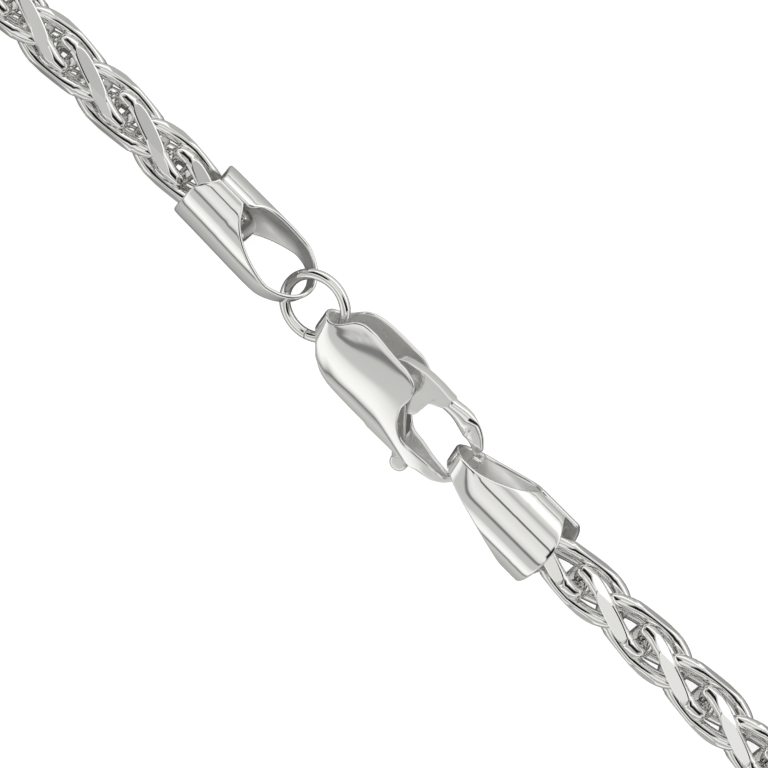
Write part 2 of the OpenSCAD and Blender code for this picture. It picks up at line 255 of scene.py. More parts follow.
def weld(piece):
    """Joins points that lie on one another, which closes poles and takes out faces without area."""
    work = bmesh.new()
    work.from_mesh(piece.data)
    bmesh.ops.remove_doubles(work, verts=work.verts, dist=weld_reach * mm)
    work.to_mesh(piece.data)
    work.free()


def polish_marks_group():
    """Fine marks of polishing: a height and a roughness that vary with stretched noise."""
    group = bpy.data.node_groups.new("polish_marks", "ShaderNodeTree")
    for name, kind, way in (("Scale", "Float", "INPUT"), ("Stretch", "Vector", "INPUT"),
                            ("Smoothest", "Float", "INPUT"), ("Roughest", "Float", "INPUT"),
                            ("Roughness", "Float", "OUTPUT"), ("Height", "Float", "OUTPUT")):
        group.interface.new_socket(name, in_out=way, socket_type="NodeSocket" + kind)
    nodes, links = group.nodes, group.links
    start, end = nodes.new("NodeGroupInput"), nodes.new("NodeGroupOutput")
    place, mapping = nodes.new("ShaderNodeTexCoord"), nodes.new("ShaderNodeMapping")
    noise, spread = nodes.new("ShaderNodeTexNoise"), nodes.new("ShaderNodeMapRange")
    noise.inputs["Detail"].default_value = 4
    spread.inputs["From Min"].default_value = 0.35
    spread.inputs["From Max"].default_value = 0.65
    links.new(place.outputs["Object"], mapping.inputs["Vector"])
    links.new(start.outputs["Stretch"], mapping.inputs["Scale"])
    links.new(mapping.outputs["Vector"], noise.inputs["Vector"])
    links.new(start.outputs["Scale"], noise.inputs["Scale"])
    links.new(noise.outputs["Fac"], spread.inputs["Value"])
    links.new(start.outputs["Smoothest"], spread.inputs["To Min"])
    links.new(start.outputs["Roughest"], spread.inputs["To Max"])
    links.new(spread.outputs["Result"], end.inputs["Roughness"])
    links.new(noise.outputs["Fac"], end.inputs["Height"])
    return group


polish_marks = polish_marks_group()


def silver(name, colour, scale, stretch, smoothest, roughest, depth, bare=1):
    """Polished sterling silver with polishing marks: their scale, stretch, least and most roughness, and
    depth in millimetres. What the share of bare metal leaves is the white skin that pickling makes."""
    material = bpy.data.materials.new(name)
    material.use_nodes = True
    nodes, links = material.node_tree.nodes, material.node_tree.links
    shader = nodes["Principled BSDF"]
    shader.inputs["Base Color"].default_value = (*colour, 1)
    shader.inputs["Metallic"].default_value = bare
    marks, bump = nodes.new("ShaderNodeGroup"), nodes.new("ShaderNodeBump")
    marks.node_tree = polish_marks
    marks.inputs["Scale"].default_value = scale
    marks.inputs["Stretch"].default_value = stretch
    marks.inputs["Smoothest"].default_value = smoothest
    marks.inputs["Roughest"].default_value = roughest
    bump.inputs["Strength"].default_value = 1
    bump.inputs["Distance"].default_value = depth * mm
    links.new(marks.outputs["Roughness"], shader.inputs["Roughness"])
    links.new(marks.outputs["Height"], bump.inputs["Height"])
    links.new(bump.outputs["Normal"], shader.inputs["Normal"])
    return material


wire_silver = silver("wire_silver", (0.93, 0.925, 0.91), 1500, (1, 1, 1), 0.04, 0.12, 0.002)
cut_silver = silver("cut_silver", (0.95, 0.945, 0.93), 900, (1, 1, 1), 0.03, 0.07, 0.0004)

for name, first, last in (("chain_right", 0, links_right - 1), ("chain_left", links_right, steps_total)):
    rings, ring_cut = link_rings(first, last)
    count, around = last - first + 1, flat_points + wire_round_steps + 1
    one = grid_quads(link_stations, around, True, True)
    quads = one[None] + (np.arange(count) * link_stations * around)[:, None, None, None]
    chain = new_piece("wheat_" + name, rings, quads, "necklace", [wire_silver, cut_silver])
    cut_face = (ring_cut & np.roll(ring_cut, -1, 1))[..., None]
    column = np.arange(around)
    is_flat = cut_face & ((column < flat_points) | (column == around - 1))
    chain.data.polygons.foreach_set("use_smooth", ~is_flat.ravel())
    chain.data.polygons.foreach_set("material_index", is_flat.ravel().astype(np.int32))
    weld(chain)
    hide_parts(name)


# End caps
# Each cap is a strip of sheet silver folded in a U: the fold is the eye that the hook or the jump ring holds,
# and both legs widen and curl into half tubes that close round the chain's end. The back leg is a little
# longer and larger, so its edges stand proud of the seam. The places of stamped marks are left bare.
cap_sheet = 0.4
# Reach of the fold's bend and the slant of its line, half the gap at the seam, width of the rounding between
# the fold and the tube, and the mouth's curl inwards: its share of the width and its length
fold_nose = 3.9
fold_slant = np.radians(12)
seam_half = 0.05
cap_blend = 0.5
mouth_curl = 0.012
mouth_curl_len = 0.6
fold_steps = 14
tube_steps = 24
across_steps = 33
# Rounds of the search for where a slanted row lies along the cap, and the share of the run to the closed tube
# up to which a leg widens
slant_rounds = 6
widest_run = 1.3
cap_right_at = (7.0, front_y - 0.65, cap_right_z)
cap_left_at = (-10.7, front_y + 0.58, cap_left_z)
# Legs: [length, step back of the seam corner and of the outer corner, their bow, proud, squeeze at the
# mouth], then the leg's edge on either side: [half width at the fold, run until the tube is closed, flare]
leg_rows = {
    ("cap_right", 1): [[11.5, 1.4, 0.45, 3, 0, 0], [1.2, 7.0, 1.8], [0.5, 9.3, 1.3]],
    ("cap_right", -1): [[12.3, 0.9, 1.3, 3, 0.15, 0], [1.2, 7.2, 1.5], [0.5, 9.0, 1.3]],
    ("cap_left", 1): [[11.9, 0.5, 0, 4, 0, 0], [0.6, 8.0, 1.8], [0.9, 8.2, 1.6]],
    ("cap_left", -1): [[12.7, 1.1, 0, 9, 0.12, 0.22], [0.6, 8.6, 2.1], [0.9, 8.2, 1.6]]}


def soft_min(a, b, width):
    """The lesser of a and b, rounded where they meet: min - h^2 x width / 4, where h is 1 - |a - b| / width
    or, where that is below 0, 0."""
    h = np.clip(width - np.abs(a - b), 0, None) / width
    return np.minimum(a, b) - h * h * width / 4


def turned(points, axis, degrees):
    """Points turned about one axis, 0, 1 or 2, through the origin."""
    c, s = np.cos(np.radians(degrees)), np.sin(np.radians(degrees))
    a, b = (axis + 1) % 3, (axis + 2) % 3
    out = np.array(points, float)
    out[..., a] = points[..., a] * c - points[..., b] * s
    out[..., b] = points[..., a] * s + points[..., b] * c
    return out


def cap_leg(mouth, seam_edge, outer_edge, face):
    """Outer surface of one leg, (along, across) on a grid. Its height is the rounded lesser of a quarter
    ellipse over the fold and half an ellipse across; its half width grows as (along / tube start) ^ flare."""
    length, seam_step, outer_step, bow, proud, squeeze = mouth
    fold = np.radians(np.linspace(0, 90, fold_steps))
    run = np.linspace(0, 1, tube_steps)[1:]
    angle = np.concatenate([fold, np.full(len(run), np.pi / 2)])[:, None]
    share = np.concatenate([np.zeros(len(fold)), run])[:, None]
    across = np.linspace(-1, 1, across_steps)[None, :]
    at_fold, to_tube, flare = (np.where(across > 0, a, b) for a, b in zip(seam_edge, outer_edge))
    full = np.pi / 2 - (seam_half + cap_sheet / 2) / cap_half_thick
    mouth_sine = np.sin(across * full)
    step_back = np.where(across > 0, seam_step, outer_step)
    mouth_x = length - step_back * np.abs(mouth_sine) ** bow
    mouth_run = mouth_x * np.cos(fold_slant) + (cap_half_width + proud) * mouth_sine * np.sin(fold_slant)
    along = fold_nose * (1 - np.cos(angle)) + share * (mouth_run - fold_nose)
    x = along
    for _ in range(slant_rounds):
        swell = proud * ease(x / fold_nose)
        half_width = cap_half_width + swell
        widened = np.clip(x / to_tube, 0, widest_run) ** flare
        edge = at_fold + (half_width - at_fold) * widened - cap_sheet / 2
        turn = across * np.minimum(np.arcsin(np.clip(edge / half_width, 0, 1)), full)
        curl = 1 - mouth_curl * np.clip((x - length + mouth_curl_len) / mouth_curl_len, 0, 1) ** 2
        y = half_width * np.sin(turn) * curl
        x = (along - y * np.sin(fold_slant)) / np.cos(fold_slant)
    half_thick = (cap_half_thick + swell) * curl - squeeze * ease((x - fold_nose) / (length - fold_nose))
    rise = half_thick * np.sin(angle) + cap_blend * ease(2 * along / fold_nose - 1)
    return np.stack([x, y, face * soft_min(rise, half_thick * np.cos(turn), cap_blend)], -1)


# Turns, in degrees, at which a sheet's rim and its two ends have points on their half circles
rim_turns = (75, 45, 15, -15, -45, -75)
end_turns = (30, 60, 90)


def sheet_rings(outer, thickness, normal=None):
    """Rings round a sheet given by its outer surface, rows x columns. A ring runs over the outer surface,
    round the edge on a half circle, back over the inner surface and round the other edge: each point is the
    sheet's middle + lift x normal + a step sideways. The two ends close on half circles too."""
    down, over = np.gradient(outer, axis=0), np.gradient(outer, axis=1)
    if normal is None:
        normal = unit(np.cross(over, down))
    half = thickness / 2
    middle = outer - half * normal
    count = outer.shape[1]
    turn = np.radians(rim_turns)
    bend = len(rim_turns)
    columns = np.concatenate([np.arange(count), np.full(bend, count - 1), np.arange(count)[::-1],
                              np.zeros(bend, int)])
    lift = np.concatenate([np.ones(count), np.sin(turn), -np.ones(count), -np.sin(turn)]) * half
    step = np.concatenate([np.zeros(count), np.cos(turn), np.zeros(count), -np.cos(turn)]) * half
    edge_side = unit(np.cross(normal, unit(down)))
    edge_side = edge_side * np.sign((edge_side * over).sum(-1, keepdims=True))
    middle, down = middle[:, columns], unit(down)[:, columns]
    offset = lift[None, :, None] * normal[:, columns] + step[None, :, None] * edge_side[:, columns]
    rings = [middle + offset]
    for end_turn in np.radians(end_turns):
        c, s = np.cos(end_turn), np.sin(end_turn) * half
        first = middle[:1] + c * offset[:1] - s * down[:1]
        last = middle[-1:] + c * offset[-1:] + s * down[-1:]
        rings = [first] + rings + [last]
    place = np.arange(len(columns))
    is_inner = (place >= count + bend - 1) & (place < 2 * count + bend)
    return np.concatenate(rings), is_inner


def sheet_piece(name, rings, is_inner, body, materials):
    """A sheet's rings as a piece, with the second material on its inner surface."""
    quads = grid_quads(*rings.shape[:2], False, True)
    piece = new_piece(name, rings, quads, body, materials)
    slots = np.tile(is_inner, rings.shape[0] - 1).astype(np.int32)
    piece.data.polygons.foreach_set("material_index", slots)
    weld(piece)
    return piece


sheet_silver = silver("sheet_silver", (0.95, 0.945, 0.93), 260, (1, 4, 4), 0.03, 0.08, 0.0012)
inner_silver = silver("inner_silver", (0.93, 0.925, 0.91), 420, (1, 2, 2), 0.32, 0.5, 0.012)

for name, at, roll, spin in (("cap_right", cap_right_at, cap_right_roll, 0),
                             ("cap_left", cap_left_at, cap_left_roll, 180)):
    front, back = cap_leg(*leg_rows[name, 1], 1), cap_leg(*leg_rows[name, -1], -1)
    rings, is_inner = sheet_rings(np.concatenate([front[::-1], back[1:]]), cap_sheet)
    rings = turned(turned(rings, 1, spin), 0, roll) + np.array(at)
    cap = sheet_piece(name + "_sheet", rings, is_inner, "necklace", [sheet_silver, inner_silver])
    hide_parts("end_" + name)


# Jump ring
# A turn of drawn silver wire, bent round until its ends meet at a fine joint. It links the ring side's cap
# to the fold at the clasp's tail.
ring_d = 6.55
ring_wire = 0.93
ring_at = (-9.65, front_y + 0.25, 3.3)
ring_tilt = (35, -4)
# Where the ring's ends meet and half the gap between them, in degrees, and what share of the wire's radius is
# left on their rubbed edges
ring_joint = -69
ring_joint_half = 0.5
edge_in = 0.88
ring_stations = 121
ring_side_turn = 15

turn = np.linspace(ring_joint + ring_joint_half, ring_joint + 360 - ring_joint_half, ring_stations)
turn = np.radians(turn)[:, None]
round_wire = np.radians(np.arange(360, 0, -ring_side_turn))[None, :]
ring_radius = (ring_d - ring_wire) / 2 + ring_wire / 2 * np.cos(round_wire)
ring = np.stack([ring_radius * np.cos(turn), ring_radius * np.sin(turn),
                 ring_wire / 2 * np.sin(round_wire) + 0 * turn], -1)
wire_middle = (ring_d - ring_wire) / 2 * np.stack([np.cos(turn), np.sin(turn), 0 * turn], -1)
first_cap = wire_middle[:1] + (ring[:1] - wire_middle[:1]) * np.array([0, edge_in])[:, None, None]
last_cap = wire_middle[-1:] + (ring[-1:] - wire_middle[-1:]) * np.array([edge_in, 0])[:, None, None]
ring = np.concatenate([first_cap, ring, last_cap])
ring = turned(turned(ring, 0, ring_tilt[0]), 1, ring_tilt[1]) + np.array(ring_at)
ring_silver = silver("ring_silver", (0.95, 0.945, 0.93), 700, (1, 1, 1), 0.03, 0.09, 0.001)
quads = grid_quads(*ring.shape[:2], False, True)
jump_ring = new_piece("ring_wire", ring, quads, "necklace", [ring_silver])
weld(jump_ring)
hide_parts("jump_ring")


# Clasp body
# One blank of sheet silver, domed, then folded in two at the tail and closed along its outer side. The front
# and back shells hold the lever between them and run out into the hollow arm of the hook, where their
# edges meet in a fine joint. The thumb nub moves in a slit in the outer wall.
clasp_roll = 32
clasp_at = (0, front_y - 0.29, 3.15)
# Half thickness at the dome's ridge, the dome's radius across, and the ridge's place aside
dome_half = 2.1
dome_r = 12.0
dome_y = 1.35
shell_t = 0.38
# How far a bend's half thickness is over the dome's, and how fast its lift beside the dome fades
bend_over = 0.06
bend_half = dome_half + bend_over
bend_lift_fade = 1.5
# The tail's bend: where it starts, its reach and its slant. Then the bends at the two corners beside it, each
# with its slant in degrees and its reach, and the width of the rounding between all of them and the dome
tail_x = -4.75
tail_nose = 3.75
tail_slant = np.radians(8)
corner_bends = ((-50, 8.0), (50, 7.4))
clasp_blend = 0.5
# Radius of the rounding along the outer side: the least of these shares of the height and of the width and of
# the room over the slit, which counts as least_room or more. Where that side is open it is least_round
corner_share = 0.36
width_share = 0.6
least_round = 0.02
least_room = 0.04
wall_steps = 5
round_points = 9
flat_steps = 18
tail_steps = 18
# Rounds of the search for where a row of the slanted bend lies along the clasp
tail_rounds = 8
# Where the open side of the tail turns into the closed wall: [along, how much of the wall there is]
wall_rows = [[-6.5, 0], [-5.3, 1]]
# Half the opening between the two shells' walls, [along, half opening]: below 0 they overlap like one sheet
gap_rows = [[0.3, -0.12], [0.5, 0.75], [5.1, 0.75], [5.3, 0.07], [7.3, 0.07], [7.6, -0.12]]
# Height that the rounding of the outer side leaves free for the slit, [along, height]
free_rows = [[-1.2, 0], [0.4, 1], [5.2, 1], [6.6, 0.1]]
# The laps of the two walls are drawn in by this, so that no two surfaces lie in the same place
overlap_inset = 0.015
# Outlines of the tail, [along, outer side, inner side], and of the rest from the tail to the hook's tip,
# [outer along, outer aside, inner along, inner aside]
tail_rows = [
    [-9, -0.7, 1.26], [-8.4, -0.72, 1.28], [-7.8, -0.9, 1.35], [-7.1, -1.6, 1.85], [-6.6, -2.2, 2.55],
    [-6.2, -2.58, 3.14], [-5.5, -3.02, 3.6], [-4.8, -3.26, 3.76], [-4.2, -3.37, 3.78]]
shell_rows = [
    [-4.39, -3.35, -5.23, 3.66], [-3.6, -3.43, -4.2, 3.77], [-2.2, -3.49, -2.6, 3.7],
    [-1.7, -3.51, -1.2, 3.63], [-1.2, -3.51, -0.4, 3.58], [-0.7, -3.51, 0.8, 3.1], [-0.1, -3.51, 1.4, 2],
    [0.5, -3.5, 1.42, 1.2], [1.1, -3.49, 1.47, 0.5], [2, -3.47, 2.1, -0.8], [3.1, -3.46, 3.3, -1.8],
    [4.5, -3.44, 4.6, -1.9], [6, -3.32, 6.2, -2], [6.8, -3.18, 7, -2.02], [7.4, -3, 7.8, -1.98],
    [8.2, -2.4, 8.1, -1.6], [8.8, -1.4, 8.26, -1.1], [9.3, 0, 8.3, -0.1], [9.38, 1, 8.3, 0.8],
    [9.26, 1.61, 8.3, 1.41]]
# Half thickness along the clasp, [along, half thickness]
thick_rows = [
    [-9, bend_half + 1], [-4, bend_half + 0.6], [-1, bend_half + 0.3], [0.5, bend_half], [2.4, 1.8],
    [4.4, 1.35], [6, 0.95], [7, 0.8], [7.8, 0.68], [8.6, 0.72], [9.8, 0.74]]
# Points of a smooth curve for each row of these tables
tail_curve_steps = 6
shell_curve_steps = 5
thick_curve_steps = 6


def smooth_rows(rows, steps):
    """Smooth curve through the rows of a table: between rows b and c it is the cubic that leaves b along
    c - a and reaches c along d - b, where a and d are the rows on either side."""
    p = np.array(rows, float)
    p = np.concatenate([p[:1], p, p[-1:]])
    a, b, c, d = p[:-3, None], p[1:-2, None], p[2:-1, None], p[3:, None]
    t = (np.arange(steps) / steps)[None, :, None]
    curve = b + t * ((c - a) + t * ((2 * a - 5 * b + 4 * c - d) + t * (3 * (b - c) + d - a))) / 2
    return np.concatenate([curve.reshape(-1, p.shape[1]), p[-1:]])


def between(rows, at):
    """Value at a place on the straight lines between a table's rows."""
    rows = np.array(rows, float)
    return np.interp(at, rows[:, 0], rows[:, 1])


def quarter_bend(run, nose):
    """Half thickness over a bend: bend_half x root of 1 - (run / nose)^2 where run is below 0. A lift by the
    blend's width, which fades out over the bend, keeps the bend's rounding off the dome beside it."""
    share = np.clip(-run / nose, 0, 1)
    lift = clasp_blend * (1 - np.clip(bend_lift_fade * share, 0, 1))
    return bend_half * np.sqrt(1 - share * share) + lift


def shell_height(x, y):
    """Height of the front shell over the clasp's middle plane: the rounded least of the dome across, the
    tail's bend, the two slanted corner bends and the thickness along the clasp."""
    dome = dome_half - dome_r + np.sqrt(dome_r ** 2 - (y - dome_y) ** 2)
    tail_run = (x - tail_x) * np.cos(tail_slant) + y * np.sin(tail_slant)
    height = soft_min(dome, quarter_bend(tail_run, tail_nose), clasp_blend)
    for slant, nose in corner_bends:
        run = x * np.cos(np.radians(slant)) + y * np.sin(np.radians(slant))
        height = soft_min(height, quarter_bend(run, nose), clasp_blend)
    return soft_min(height, between(smooth_rows(thick_rows, thick_curve_steps), x), clasp_blend)


def shell_grid():
    """Front shell on a grid of (row along, column across), and how far its outer side is closed. A row runs
    up the outer wall, over a quarter circle of radius r, down r (1 - sin a) over r (1 - cos a), and across
    to the opening. The wall fades out towards the tail, where the outer side is open."""
    round_at = np.radians(np.linspace(0, 90, round_points))[None, :]
    flat = np.linspace(0, 1, flat_steps + 1)[1:][None, :]
    wall = np.linspace(0, 1, wall_steps + 1)[None, :-1]

    def plan_of(outer, inner, x):
        """Places in the plane, the rounding's radius and how far the side is closed, for rows given by
        their two ends."""
        closed = ease(between(wall_rows, x))
        side = unit(inner - outer)
        outer = outer + side * (shell_t / 2 * (1 - closed))[..., None]
        width = np.linalg.norm(inner - outer, axis=-1)
        height = np.maximum(shell_height(outer[..., 0], outer[..., 1]), 0)
        room = height - between(free_rows, x)
        radius = np.minimum(corner_share * height, width_share * width)
        radius = np.minimum(radius, np.maximum(room, least_room))
        radius = least_round + (radius - least_round) * closed
        lean = least_round * wall + 0 * radius
        corner = least_round + radius * (1 - np.cos(round_at))
        rest = least_round + radius + (width - radius - least_round) * flat
        across = np.concatenate([lean, corner, rest], 1)
        return outer + side * across[..., None], radius, closed

    bend = np.radians(np.linspace(0, 90, tail_steps + 1)[:-1])[:, None]
    tail = smooth_rows(tail_rows, tail_curve_steps)
    x = tail_x - tail_nose * np.cos(bend)
    for _ in range(tail_rounds):
        outer = np.stack([x[:, :1], np.interp(x[:, :1], tail[:, 0], tail[:, 1])], -1)
        inner = np.stack([x[:, :1], np.interp(x[:, -1:], tail[:, 0], tail[:, 2]) - shell_t / 2], -1)
        plan, radius, closed = plan_of(outer, inner, x[:, :1])
        x = tail_x + (-tail_nose * np.cos(bend) - plan[..., 1] * np.sin(tail_slant)) / np.cos(tail_slant)
    tail_plan = np.stack([x, plan[..., 1]], -1)
    rows = smooth_rows(shell_rows, shell_curve_steps)
    edge = unit(np.gradient(rows[:, 2:], axis=0))
    opening = rows[:, 2:] + shell_t / 2 * np.stack([edge[:, 1], -edge[:, 0]], -1)
    body_plan, body_radius, body_closed = plan_of(rows[:, None, :2], opening[:, None], rows[:, :1])
    plan = np.concatenate([tail_plan, body_plan])
    radius, closed = np.concatenate([radius, body_radius]), np.concatenate([closed, body_closed])
    drop = np.concatenate([radius + 0 * wall, radius * (1 - np.sin(round_at)), 0 * radius * flat], 1)
    height = np.maximum(shell_height(plan[..., 0], plan[..., 1]) - drop, 0)
    gap = between(gap_rows, plan[:, :1, 0])
    wall_top = height[:, wall_steps:wall_steps + 1]
    foot = np.minimum(gap + np.where(gap > 0, shell_t / 2, 0), wall_top - least_round)
    full = wall_top * wall + foot * (1 - wall)
    height[:, :wall_steps] += (full - height[:, :wall_steps]) * closed
    return np.concatenate([plan, height[..., None]], -1), closed


front, closed = shell_grid()
front[..., 1] += overlap_inset * (front[..., 2] < 0) * (np.arange(front.shape[1]) < wall_steps)
back = front * np.array([1, 1, -1])
shell = np.concatenate([front[::-1], back[1:]])
closed = np.concatenate([closed[::-1], closed[1:]])
shell_normal = unit(np.cross(np.gradient(shell, axis=1), np.gradient(shell, axis=0)))
# Where the outer side is open there is no wall, and the sheet's edge faces as its flat part does
first_flat = wall_steps + round_points
top_normal = shell_normal[:, first_flat:first_flat + 1]
side_normal = shell_normal[:, :first_flat]
shell_normal[:, :first_flat] = unit(top_normal + (side_normal - top_normal) * closed[..., None])
rings, is_inner = sheet_rings(shell, shell_t, shell_normal)
rings = turned(rings, 0, clasp_roll) + np.array(clasp_at)
shell_silver = silver("shell_silver", (0.95, 0.945, 0.93), 120, (1, 2, 2), 0.05, 0.1, 0.002)
hollow_silver = silver("hollow_silver", (0.97, 0.965, 0.955), 420, (1, 3, 3), 0.15, 0.35, 0.03, 0.4)
clasp_shell = sheet_piece("clasp_shell", rings, is_inner, "necklace", [shell_silver, hollow_silver])
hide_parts("clasp_body")


# Clasp pin
# A short rod of drawn silver wire, put through the lever's root and riveted to both shells. The lever turns
# on it. In the part's source it is one solid with the clasp's body.
pivot = (0.2, 1.2)
pin_r = 0.5
pin_half = 1.7


def lathed(profile, at, sides=40):
    """A profile of [radius, height] turned about an upright axis: at + radius x (cos a, sin a)."""
    profile = np.array(profile, float)
    angle = np.arange(sides)[None, :] * 2 * np.pi / sides
    return np.stack([at[0] + profile[:, :1] * np.cos(angle), at[1] + profile[:, :1] * np.sin(angle),
                     profile[:, 1:] + 0 * angle], -1)


pin = lathed([[0, -pin_half], [pin_r, -pin_half], [pin_r, pin_half], [0, pin_half]], pivot)
quads = grid_quads(*pin.shape[:2], False, True)
pin = turned(pin, 0, clasp_roll) + np.array(clasp_at)
clasp_pin = new_piece("clasp_pin", pin, quads, "necklace", [ring_silver])
weld(clasp_pin)


# Clasp lever
# One casting: a root that turns on the pin, a flat plate, and the rounded gate that closes the hook's
# opening, thinner where it lies in the hook's tip, with an arm and a round nub for the thumb. The place of
# its stamped mark is left bare.
nub_at = (4.38, -4.18)
nub_r = 0.8
nub_half = 0.65
nub_edge = 0.3
nub_points = 9
arm_half_thick = 0.62
arm_half = 0.6
arm_edge = 0.2
arm_stations = 5
# Outline, [lower along, lower aside, upper along, upper aside] from the root to the tip
lever_rows = [
    [-1.88, 2.5, -1.84, 2.7], [-1.75, 1.9, -1.6, 3.05], [-1.2, 1, -0.9, 3.45], [-0.4, 0.35, 0, 3.7],
    [0.4, -0.1, 0.6, 3.85], [1.2, -0.28, 1.3, 3.92], [1.9, -0.2, 2, 3.94], [2.4, 0.15, 2.5, 3.94],
    [2.6, 0.6, 2.8, 3.92], [2.5, 1.1, 3, 3.9], [2.5, 1.6, 3.2, 3.88], [2.9, 2.15, 3.6, 3.86],
    [3.6, 2.45, 4.1, 3.86], [4.4, 2.5, 4.6, 3.93], [5.1, 2.42, 5.2, 4.02], [5.8, 2.2, 5.9, 4.02],
    [6.5, 1.93, 6.6, 3.87], [7.1, 1.87, 7.3, 3.56], [7.7, 1.68, 7.95, 3.05], [8.2, 1.38, 8.53, 2.35],
    [8.4, 1.4, 8.62, 1.8]]
# Sections, [upper along, half thickness, width of the upper edge's rounding, width of the lower edge's]
lever_sections = [
    [-2, 0.5, 0.12, 0.12], [3.9, 0.6, 0.12, 0.12], [4.25, 0.68, 0.9, 0.8], [6, 0.64, 1.1, 1],
    [6.9, 0.23, 0.9, 0.8], [7.8, 0.2, 0.5, 0.5], [9, 0.2, 0.4, 0.4]]
lever_curve_steps = 5
# Largest width of a rounding as a share of the bar's width, its largest fall as a share of half the bar's
# thickness, and the points over each rounding and between the two
width_limit = 0.48
fall_limit = 0.95
round_over_points = 8
between_points = 5


def slab_rings(rows, half_thick, upper_edge, lower_edge):
    """A bar as rings: each row's section is a strip as thick as given, whose long edges are rounded by
    quarter ellipses as wide as given, down by fall x (1 - sin a) over width x (1 - cos a)."""
    outer, inner = rows[:, None, :2], rows[:, None, 2:]
    width = np.linalg.norm(inner - outer, axis=-1)
    low, high = (np.minimum(edge[:, None], width_limit * width) for edge in (lower_edge, upper_edge))
    low_fall, high_fall = (np.minimum(edge, fall_limit * half_thick[:, None]) for edge in (low, high))
    quarter = np.radians(np.linspace(0, 90, round_over_points))[None, :]
    middle = np.linspace(0, 1, between_points + 2)[1:-1][None, :]
    shares = np.concatenate([low * (1 - np.cos(quarter)), low + (width - low - high) * middle,
                             width - high * (1 - np.cos(quarter[:, ::-1]))], 1) / width
    drop = np.concatenate([low_fall * (1 - np.sin(quarter)), 0 * low * middle,
                           high_fall * (1 - np.sin(quarter[:, ::-1]))], 1)
    top = half_thick[:, None] - drop
    plan = outer + (inner - outer) * shares[..., None]
    upper = np.concatenate([plan, top[..., None]], -1)
    lower = np.concatenate([plan, -top[..., None]], -1)[:, ::-1]
    return np.concatenate([upper, lower], 1)


def closed_rings(rings):
    """Rings with a ring at each end that is shrunk to its middle, which closes the bar."""
    first, last = rings[:1].mean(1, keepdims=True), rings[-1:].mean(1, keepdims=True)
    return np.concatenate([first + 0 * rings[:1], rings, last + 0 * rings[-1:]])


lever_curve = smooth_rows(lever_rows, lever_curve_steps)
places, *sections = np.array(lever_sections).T
section_values = [np.interp(lever_curve[:, 2], places, values) for values in sections]
gate = closed_rings(slab_rings(lever_curve, *section_values))[:, ::-1]
arm_line = np.array(nub_at) - np.array(pivot)
arm_side = np.array([-arm_line[1], arm_line[0]]) / np.linalg.norm(arm_line) * arm_half
arm_middle = np.array(pivot) + arm_line * np.linspace(0, 1, arm_stations)[:, None]
arm_edges = np.concatenate([arm_middle + arm_side, arm_middle - arm_side], 1)
arm_sections = [np.full(arm_stations, value) for value in (arm_half_thick, arm_edge, arm_edge)]
arm = closed_rings(slab_rings(arm_edges, *arm_sections))
nub_turn = np.radians(np.linspace(0, 90, nub_points))
nub_rim = np.stack([nub_r - nub_edge * (1 - np.cos(nub_turn)),
                    nub_half - nub_edge * (1 - np.sin(nub_turn))], -1)
nub_profile = np.concatenate([[[0, -nub_half]], nub_rim[::-1] * [1, -1], nub_rim, [[0, nub_half]]])
nub = lathed(nub_profile, nub_at)
points, quads, total = [], [], 0
for grid in (gate, arm, nub):
    quads.append(grid_quads(*grid.shape[:2], False, True).reshape(-1, 4) + total)
    points.append(grid.reshape(-1, 3))
    total += len(points[-1])
points = turned(np.concatenate(points), 0, clasp_roll) + np.array(clasp_at)
lever_silver = silver("lever_silver", (0.94, 0.935, 0.92), 500, (1, 3, 3), 0.06, 0.16, 0.002)
lever = new_piece("lever_gate", points, np.concatenate(quads), "lever", [lever_silver])
weld(lever)
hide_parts("clasp_lever")


# Table and studio
# A white table in a light tent. The tent's white panels leave narrow dark gaps, its roof has a small hole for
# the lens, and a dark card stands at either end of the clasp: polished silver shows them as its dark lines.
# The camera's view: its width and its middle, its turn about the upright, the lens, and how far it sees in
# metres. Then half the table's side in metres and its depth below the necklace
view_width = 63.44
view_middle = (-1.05, front_y - 0.29, 3.0)
view_turn = np.radians(45)
lens_mm, sensor_mm = 250, 36
farthest_seen = 10
table_half = 1.0
table_clearance = 0.02
# Painted shade on the table as the silver reflects it: an emission whose brightness goes by the distance from
# the chain's middle line in millimetres, [distance, brightness], and is painted darker close by, where the
# necklace's own shade would fall
painted_shade_rows = [[0, 0.1], [2.8, 0.12], [4.2, 0.34], [6, 0.42], [9, 0.47], [17, 0.6], [40, 0.8], [80, 0.92]]
# Light of the tent by the angle from straight up, in degrees towards the loop's inside, [angle, brightness]
tent_rows = [
    [-180, 0.42], [-105, 0.42], [-98, 0.66], [-91, 1.0], [-80, 0.92], [-72, 0.8], [-66, 0.56], [-50, 0.54],
    [-47.5, 0.19], [-43.5, 0.19], [-41, 0.62], [-35, 0.78], [-27, 0.84], [-12, 0.76], [-3.4, 0.74],
    [-2.2, 0.12], [1.2, 0.12], [2.4, 0.78], [16, 0.82], [26, 0.7], [31, 0.48], [34, 0.46], [39, 0.62],
    [47, 0.7], [53, 0.98], [58, 1.15], [69, 1.15], [78, 0.95], [86, 0.75], [89, 0.3], [93, 0.95],
    [110, 0.9], [180, 0.42]]
# Darkness of the two cards by how far a direction leans along the clasp, [lean, darkness]
card_rows = [
    [-1, 0], [-0.95, 0], [-0.9, 1], [-0.4, 1], [-0.3, 0], [0.28, 0], [0.38, 1], [0.9, 1], [0.95, 0], [1, 0]]
# How far a direction may lean across the clasp and still meet a card, the lean over which the card's edge
# fades, and the share of light that is left where a card is darkest
card_half, card_fade = 0.25, 0.1
card_glow = 0.02
warm_white = (1, 1, 0.985, 1)


